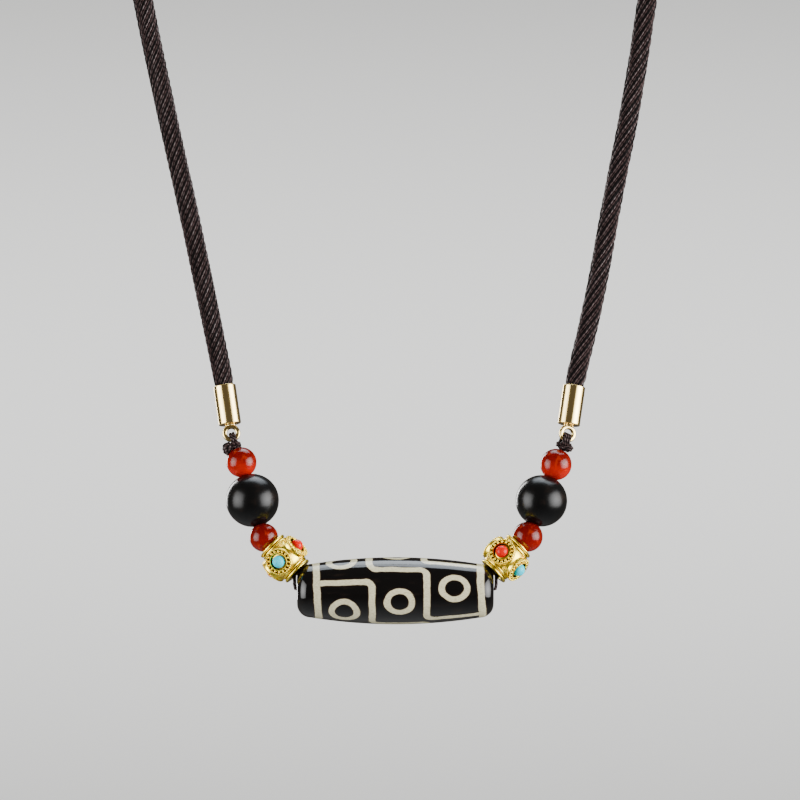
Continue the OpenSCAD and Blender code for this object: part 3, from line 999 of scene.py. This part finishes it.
class NECKLACE_OT_dzi_bead(bpy.types.Operator):
    """Turns the long agate bead and paints its pattern into the stone."""
    bl_idname = "necklace.dzi_bead"
    bl_label = "Long bead"

    def execute(self, context):
        round_from = DZI_LENGTH / 2 - DZI_END_R

        def side_radius(x):
            return DZI_R - DZI_SIDE_R + math.sqrt(DZI_SIDE_R ** 2 - x * x)

        end = arc((side_radius(round_from) - DZI_END_R, round_from), DZI_END_R, 0, 90, 12)
        belly = [(side_radius(x), x) for x in (round_from * k / 22 for k in range(-21, 22))]
        mouth = arc((DZI_HOLE_R + 0.25, DZI_LENGTH / 2 - 0.25), 0.25, 90, 180, 4)
        half = end + mouth
        outline = [(r, -h) for r, h in half[::-1]] + belly + half
        bead = turned(closed(outline), steps=128)
        place = Matrix.Translation(PENDANT) @ Matrix.Rotation(math.radians(90), 4, "Y")
        dressed(bead, "long_agate_bead", place, "dzi_bead", "patterned_agate",
                agate_finish(settings(context).agate))
        return {"FINISHED"}


def round_bead(side, i):
    """Polished round bead with its mouths eased."""
    row = BEADS[side][i]
    radius, hole = row[DIAMETER] / 2, row[HOLE] / 2
    mouth = max(hole + 0.18, row[MOUTH] / 2)
    top = math.degrees(math.acos(mouth / radius))
    ball = arc((0, 0), radius, -top, top, 40)
    rim = rest_height(2 * radius, 2 * mouth)
    lip = rim - (mouth - hole) * 0.8
    return turned(closed([(hole, -lip), *ball, (hole, lip)]), steps=72)


class NECKLACE_OT_red_beads(bpy.types.Operator):
    """Turns the four carnelian beads."""
    bl_idname = "necklace.red_beads"
    bl_label = "Red beads"

    def execute(self, context):
        s = settings(context).stone
        for side, word in SIDES.items():
            for i, level, deep in ((LOWER, "lower", 0.7), (UPPER, "upper", 0)):
                name = f"{word}_{level}_red_bead"
                centre, row = bead_at(side, i), BEADS[side][i]
                finish = carnelian_finish(
                    s, "carnelian " + name, chest(centre), row[DIAMETER] / 2, deep)
                dressed(round_bead(side, i), name, on_string(centre, side, row[BORE]),
                        f"red_bead_{level}_{word}", "carnelian", finish)
        return {"FINISHED"}


class NECKLACE_OT_black_beads(bpy.types.Operator):
    """Turns the two black beads."""
    bl_idname = "necklace.black_beads"
    bl_label = "Black beads"

    def execute(self, context):
        s = settings(context).stone
        for side, word in SIDES.items():
            centre = bead_at(side, MIDDLE)
            finish = onyx_finish(s, f"black stone {word}", chest(centre))
            dressed(round_bead(side, MIDDLE), word + "_black_bead",
                    on_string(centre, side, BEADS[side][MIDDLE][BORE]), "black_bead_" + word,
                    "black_onyx", finish)
        return {"FINISHED"}


# End of each metal bead, down or up the string, that has rosettes between its medallions
ROSETTE_END = {LEFT: 1, RIGHT: -1}
# Heights and radii on a metal bead, in millimetres, as the solids have them
BARREL_R, FLANGE_R, FLANGE_T, FLANGE_GAP = 3.75, 3.05, 0.45, 0.25
BARREL_HALF = METAL_LENGTH / 2 - 2 * FLANGE_T - FLANGE_GAP
MEDALLION_R, MEDALLION_H, STONE_R, STONE_TOP = 2.65, 3.65, 1.25, 4.85
BEZEL_R, POCKET_FLOOR = STONE_R + 0.56, MEDALLION_H - 0.45
# Rosette: the radius of its middle and of its petals, how far out they lie, and their number
ROSETTE_R, PETAL_R, PETAL_OUT, PETALS = 0.21, 0.12, 0.34, 8
# Twist of the wire round a medallion: its shape against the wire's radius, its turn and its lean
TWIST_SHAPE, TWIST_TURN, TWIST_LEAN = (0.86, 1.7, 1.05), 38, 28
# Solder beads that hold a ring to its cap: how far out and up the middle of each is, its radius
# and its shape against that
SOLDER_OUT, SOLDER_UP, SOLDER_R, SOLDER_SHAPE = 0.62, 1.62, 0.42, (1, 1.05, 0.75)


def on_metal(side):
    return on_string(metal_at(side), side, METAL_LEAN) @ Matrix.Rotation(
        math.radians(METAL_SPIN[side]), 4, "Z")


def on_medallion(quarter):
    return (Matrix.Rotation(math.radians(90 * quarter), 4, "Z")
            @ Matrix.Rotation(math.radians(90), 4, "X"))


class NECKLACE_OT_metal_beads(bpy.types.Operator):
    """Makes the two gold beads with their flanges, medallions, granules and wires."""
    bl_idname = "necklace.metal_beads"
    bl_label = "Metal beads"

    def execute(self, context):
        s = settings(context).metal
        finish = finish_once("yellow gold", lambda: yellow_gold_finish(s))
        medallion, rosette = self.medallion(s), self.rosette()
        for side, word in SIDES.items():
            parts = [self.barrel()]
            for quarter in range(4):
                parts.append(copied(medallion, on_medallion(quarter)))
                parts.append(copied(rosette, Matrix.Rotation(
                    math.radians(45 + 90 * quarter), 4, "Z") @ self.beside(ROSETTE_END[side])))
            dressed(joined(parts), word + "_gold_bead", on_metal(side), "gold_bead_" + word,
                    "yellow_gold", finish)
        bpy.data.objects.remove(medallion)
        bpy.data.objects.remove(rosette)
        return {"FINISHED"}

    def beside(self, end):
        """Place on the barrel between two medallions, near the flange at one end."""
        return Matrix.Translation((BARREL_R - 0.5, 0, end * 1.95)) @ Matrix.Rotation(
            math.radians(90 - end * 30), 4, "Y")

    def rosette(self):
        """Granule in a ring of small granules, lying round Z."""
        middle = self.granule(ROSETTE_R)
        petal = self.granule(PETAL_R)
        parts = [copied(petal, Matrix.Rotation(math.radians(360 / PETALS * k), 4, "Z")
                        @ Matrix.Translation((PETAL_OUT, 0, 0))) for k in range(PETALS)]
        bpy.data.objects.remove(petal)
        return joined([middle, *parts])

    def granule(self, radius):
        deselect()
        bpy.ops.mesh.primitive_uv_sphere_add(segments=8, ring_count=6, radius=radius)
        ball = moved(bpy.context.object, Matrix.Identity(4))
        # Painted shade under each granule, and under the twists of wire made from it.
        return with_painted_shade(ball, lambda p: 0.7 if p.z < -0.2 * radius else 0)

    def barrel(self):
        """Barrel with a pair of discs and a groove at each end, and the hole through it."""
        inner_r, groove_r, half = FLANGE_R - 0.1, FLANGE_R - 0.6, METAL_LENGTH / 2
        z1, z2, z3 = BARREL_HALF, BARREL_HALF + FLANGE_T, BARREL_HALF + FLANGE_T + FLANGE_GAP
        belly = [(BARREL_R - drop, z1 * share) for share, drop in
                 ((0, 0), (0.25, 0.04), (0.45, 0.15), (0.65, 0.32), (0.8, 0.5), (0.92, 0.74))]
        flange = [
            (inner_r - 0.12, z1), (inner_r - 0.02, z1 + 0.06), (inner_r, z1 + 0.12),
            (inner_r, z2 - 0.1), (inner_r - 0.06, z2 - 0.02), (groove_r, (z2 + z3) / 2),
            (FLANGE_R - 0.06, z3 + 0.02), (FLANGE_R, z3 + 0.1), (FLANGE_R, half - 0.1),
            (FLANGE_R - 0.03, half - 0.03), (FLANGE_R - 0.1, half),
            (DISH_D / 2 + 0.08, half), (DISH_D / 2, half - 0.05),
            (DISH_D / 2 - 0.12, half - 0.4), (METAL_HOLE_R, half - 0.9),
        ]
        top = belly + flange
        outline = [(r, -h) for r, h in top[:0:-1]] + top

        # Painted shade in the grooves between the discs, in the dishes at the ends and where the
        # belly meets the discs.
        def shade_at(p):
            radius, height = math.hypot(p.x, p.y), abs(p.z)
            if z2 - 0.05 < height < z3 + 0.05 and radius < groove_r + 0.1:
                return 0.75
            if height > half - 1 and radius < DISH_D / 2 - 0.06:
                return 0.75
            return 0.7 if abs(height - z1) < 0.01 and radius < inner_r - 0.05 else 0

        return with_painted_shade(turned(closed(outline), steps=72), shade_at)

    def medallion(self, s):
        """Medallion shaped along Z: a disc with its stone's pocket, wires and granules."""
        top, rim = MEDALLION_H, MEDALLION_R
        bezel, trench = BEZEL_R, top - 0.36
        plate = turned([
            (0, 2.5), (rim - 0.12, 2.5), (rim - 0.02, top - 0.35), (rim - 0.06, top - 0.15),
            (rim - 0.14, top - 0.08), (rim - 0.3, top - 0.08), (rim - 0.36, trench),
            (bezel + 0.04, trench), (bezel, top - 0.1), (bezel, top + 0.2),
            (bezel - 0.05, top + 0.28), (bezel - 0.1, top + 0.28), (bezel - 0.16, top + 0.2),
            (bezel - 0.18, top + 0.14), (bezel - 0.18, POCKET_FLOOR), (0, POCKET_FLOOR)],
            steps=56)

        # Painted shade: darkest in the stone's pocket, less in the trench round the bezel.
        def shade_at(p):
            radius = math.hypot(p.x, p.y)
            in_pocket = radius < bezel - 0.17 and p.z < top + 0.18
            in_trench = bezel - 0.01 < radius < rim - 0.32 and p.z < top
            return 1 if in_pocket else 0.75 if in_trench else 0

        parts = [with_painted_shade(plate, shade_at)]
        granule = self.granule(s.granule_r)
        granule_ring = (bezel + rim - 2 * s.wire_r) / 2
        for k in range(s.granules):
            parts.append(copied(granule, Matrix.Rotation(2 * math.pi * k / s.granules, 4, "Z")
                                @ Matrix.Translation((granule_ring, 0, top - 0.06))))
        twist = copied(granule, Matrix.Diagonal(
            (*(s.wire_r / s.granule_r * c for c in TWIST_SHAPE), 1)))
        for k in range(s.wire_twists):
            parts.append(copied(twist, Matrix.Rotation(2 * math.pi * k / s.wire_twists, 4, "Z")
                                @ Matrix.Translation((rim - s.wire_r + 0.02, 0, top + 0.02))
                                @ Matrix.Rotation(math.radians(TWIST_TURN), 4, "Z")
                                @ Matrix.Rotation(math.radians(TWIST_LEAN), 4, "X")))
        bpy.data.objects.remove(granule)
        bpy.data.objects.remove(twist)
        return joined(parts)


class NECKLACE_OT_set_stones(bpy.types.Operator):
    """Cuts the small domed stones and sets them in the medallions."""
    bl_idname = "necklace.set_stones"
    bl_label = "Set stones"

    def execute(self, context):
        s = settings(context).stone
        turquoise = cabochon_finish("turquoise", s.turquoise, s.turquoise_shade)
        coral = cabochon_finish("coral", s.coral, s.coral_shade)
        rows = {
            LEFT: ["turquoise_left_front", "coral_left_upper", "turquoise_left_back",
                   "coral_left_lower"],
            RIGHT: ["coral_right_front", "turquoise_right_lower", "coral_right_back",
                    "turquoise_right_upper"],
        }
        dome_at = STONE_TOP - STONE_R
        outline = [(0, POCKET_FLOOR + GAP), (STONE_R, POCKET_FLOOR + GAP),
                   *arc((0, dome_at), STONE_R, 0, 90, 14)]
        for side, nodes in rows.items():
            for quarter, node in enumerate(nodes):
                kind = node.split("_")[0]
                stone = turned(outline, steps=36)
                dressed(stone, "set_" + node, on_metal(side) @ on_medallion(quarter), node, kind,
                        turquoise if kind == "turquoise" else coral)
        return {"FINISHED"}


class NECKLACE_OT_end_caps(bpy.types.Operator):
    """Makes the polished end caps with the rings soldered under them."""
    bl_idname = "necklace.end_caps"
    bl_label = "End caps"

    def execute(self, context):
        s = settings(context).metal
        finish = finish_once("pale gold", lambda: pale_gold_finish(s))
        for side, word in SIDES.items():
            turn = Matrix.Rotation(math.radians(RING_TURN[side]), 4, "Z")
            band = self.band()
            parts = [self.tube(), moved(band, turn @ Matrix.Rotation(math.radians(90), 4, "X"))]
            for x in (-SOLDER_OUT, SOLDER_OUT):
                parts.append(moved(self.solder(), turn @ Matrix.Translation((x, 0, SOLDER_UP))))
            dressed(joined(parts), word + "_end_cap", on_string(ring_at(side), side, CAP_LEAN),
                    "cap_" + word, "pale_gold", finish)
        return {"FINISHED"}

    def tube(self):
        low, high, r = RING_TO_CAP, RING_TO_CAP + CAP_LENGTH, CAP_R
        return turned([
            (0, 1.35), (0.34, 1.4), (0.5, 1.6), (0.62, low), (r - 0.2, low),
            *arc((r - 0.16, low + 0.16), 0.16, -80, 0, 4), (r, low + 0.26),
            (r, high - 0.24), *arc((r - 0.14, high - 0.14), 0.14, 0, 90, 4),
            (SOCKET_R + 0.04, high), (SOCKET_R, high - 0.05),
            (SOCKET_R, high - SOCKET_DEPTH), (0, high - SOCKET_DEPTH)], steps=96)

    def band(self):
        """Flat ring with eased edges, turned round Z."""
        e, half = 0.32, RING_T / 2
        corners = [
            ((RING_R - e, half - e), 0), ((RING_HOLE_R + e, half - e), 90),
            ((RING_HOLE_R + e, e - half), 180), ((RING_R - e, e - half), 270),
        ]
        return turned(closed([p for c, a in corners for p in arc(c, e, a, a + 90, 4)]),
                      steps=64)

    def solder(self):
        deselect()
        bpy.ops.mesh.primitive_uv_sphere_add(segments=20, ring_count=12, radius=SOLDER_R)
        return moved(bpy.context.object, Matrix.Diagonal((*SOLDER_SHAPE, 1)))


class NECKLACE_OT_clasp(bpy.types.Operator):
    """Turns the barrel of the hidden clasp, with a groove round its middle and each half."""
    bl_idname = "necklace.clasp"
    bl_label = "Clasp"

    def execute(self, context):
        s = settings(context).metal
        finish = finish_once("pale gold", lambda: pale_gold_finish(s))
        half, r, groove = CLASP_LENGTH / 2, CLASP_R, 0.12
        side = [
            (r - groove, 0.12), (r, 0.28), (r, 1.4), (r - groove, 1.55), (r - groove, 1.7),
            (r, 1.85), (r, half - 0.7), *arc((r - 0.5, half - 0.5), 0.5, 0, 90, 8),
            (SOCKET_R + 0.06, half), (SOCKET_R, half - 0.06), (SOCKET_R, half - CLASP_SOCKET),
            (0, half - CLASP_SOCKET),
        ]
        outline = [(x, -h) for x, h in side[::-1]] + side
        place = Matrix.Translation((0, CLASP_R, 0)) @ Matrix.Rotation(math.radians(90), 4, "Y")
        dressed(turned(outline, steps=96), "barrel_clasp", place, "clasp", "pale_gold", finish,
                CLASP_SMOOTH)
        return {"FINISHED"}


class NECKLACE_PT_panel(bpy.types.Panel):
    """Lists the necklace's pieces and settings."""
    bl_label = "Necklace"
    bl_idname = "NECKLACE_PT_panel"
    bl_space_type = "VIEW_3D"
    bl_region_type = "UI"
    bl_category = "Necklace"

    def draw(self, context):
        for operator in OPERATORS:
            self.layout.operator(operator.bl_idname)
        for group in ("agate", "stone", "metal", "yarn", "stage"):
            box = self.layout.box()
            owner = getattr(settings(context), group)
            for key in owner.bl_rna.properties.keys():
                if key not in ("rna_type", "name"):
                    box.prop(owner, key)


OPERATORS = (
    NECKLACE_OT_stage, NECKLACE_OT_rope, NECKLACE_OT_thread, NECKLACE_OT_dzi_bead,
    NECKLACE_OT_red_beads, NECKLACE_OT_black_beads, NECKLACE_OT_metal_beads,
    NECKLACE_OT_set_stones, NECKLACE_OT_end_caps, NECKLACE_OT_clasp,
)
GROUPS = (AgateSettings, StoneSettings, MetalSettings, YarnSettings, StageSettings,
          NecklaceSettings)


def register():
    for made in GROUPS + OPERATORS + (NECKLACE_PT_panel,):
        bpy.utils.register_class(made)
    bpy.types.Scene.necklace = PointerProperty(type=NecklaceSettings)


def unregister():
    del bpy.types.Scene.necklace
    for made in reversed(GROUPS + OPERATORS + (NECKLACE_PT_panel,)):
        bpy.utils.unregister_class(made)


def main():
    register()
    for operator in OPERATORS:
        getattr(bpy.ops.necklace, operator.bl_idname.split(".")[1])()


if __name__ == "__main__":
    main()
